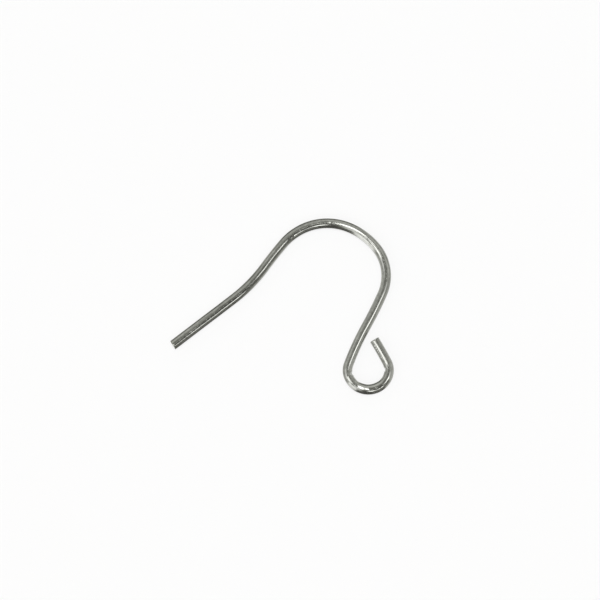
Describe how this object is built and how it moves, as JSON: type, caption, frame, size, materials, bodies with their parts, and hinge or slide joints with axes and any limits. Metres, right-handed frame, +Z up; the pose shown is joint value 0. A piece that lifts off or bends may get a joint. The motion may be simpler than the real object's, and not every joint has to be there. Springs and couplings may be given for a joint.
{
  "type": "ear wire",
  "caption": "Fish-hook ear wire: one round wire with a straight tail, an arch that hangs in the piercing, and an open eye at the foot of the shank for a drop.",
  "frame": {"origin": "centre of the box that the flat wire fills, at its lowest point, on the surface that it lies on", "axes": "+X along the straight tail from its tip towards the arch, +Y in the plane of the wire from the eye towards the tail and the arch, +Z up from the surface, square to the plane of the wire"},
  "size_m": [0.0186, 0.0151, 0.0008],
  "materials": {
    "steel_wire": "bright drawn and polished"
  },
  "bodies": {
    "root": {"ear_wire": "steel_wire"}
  },
  "joints": []
}
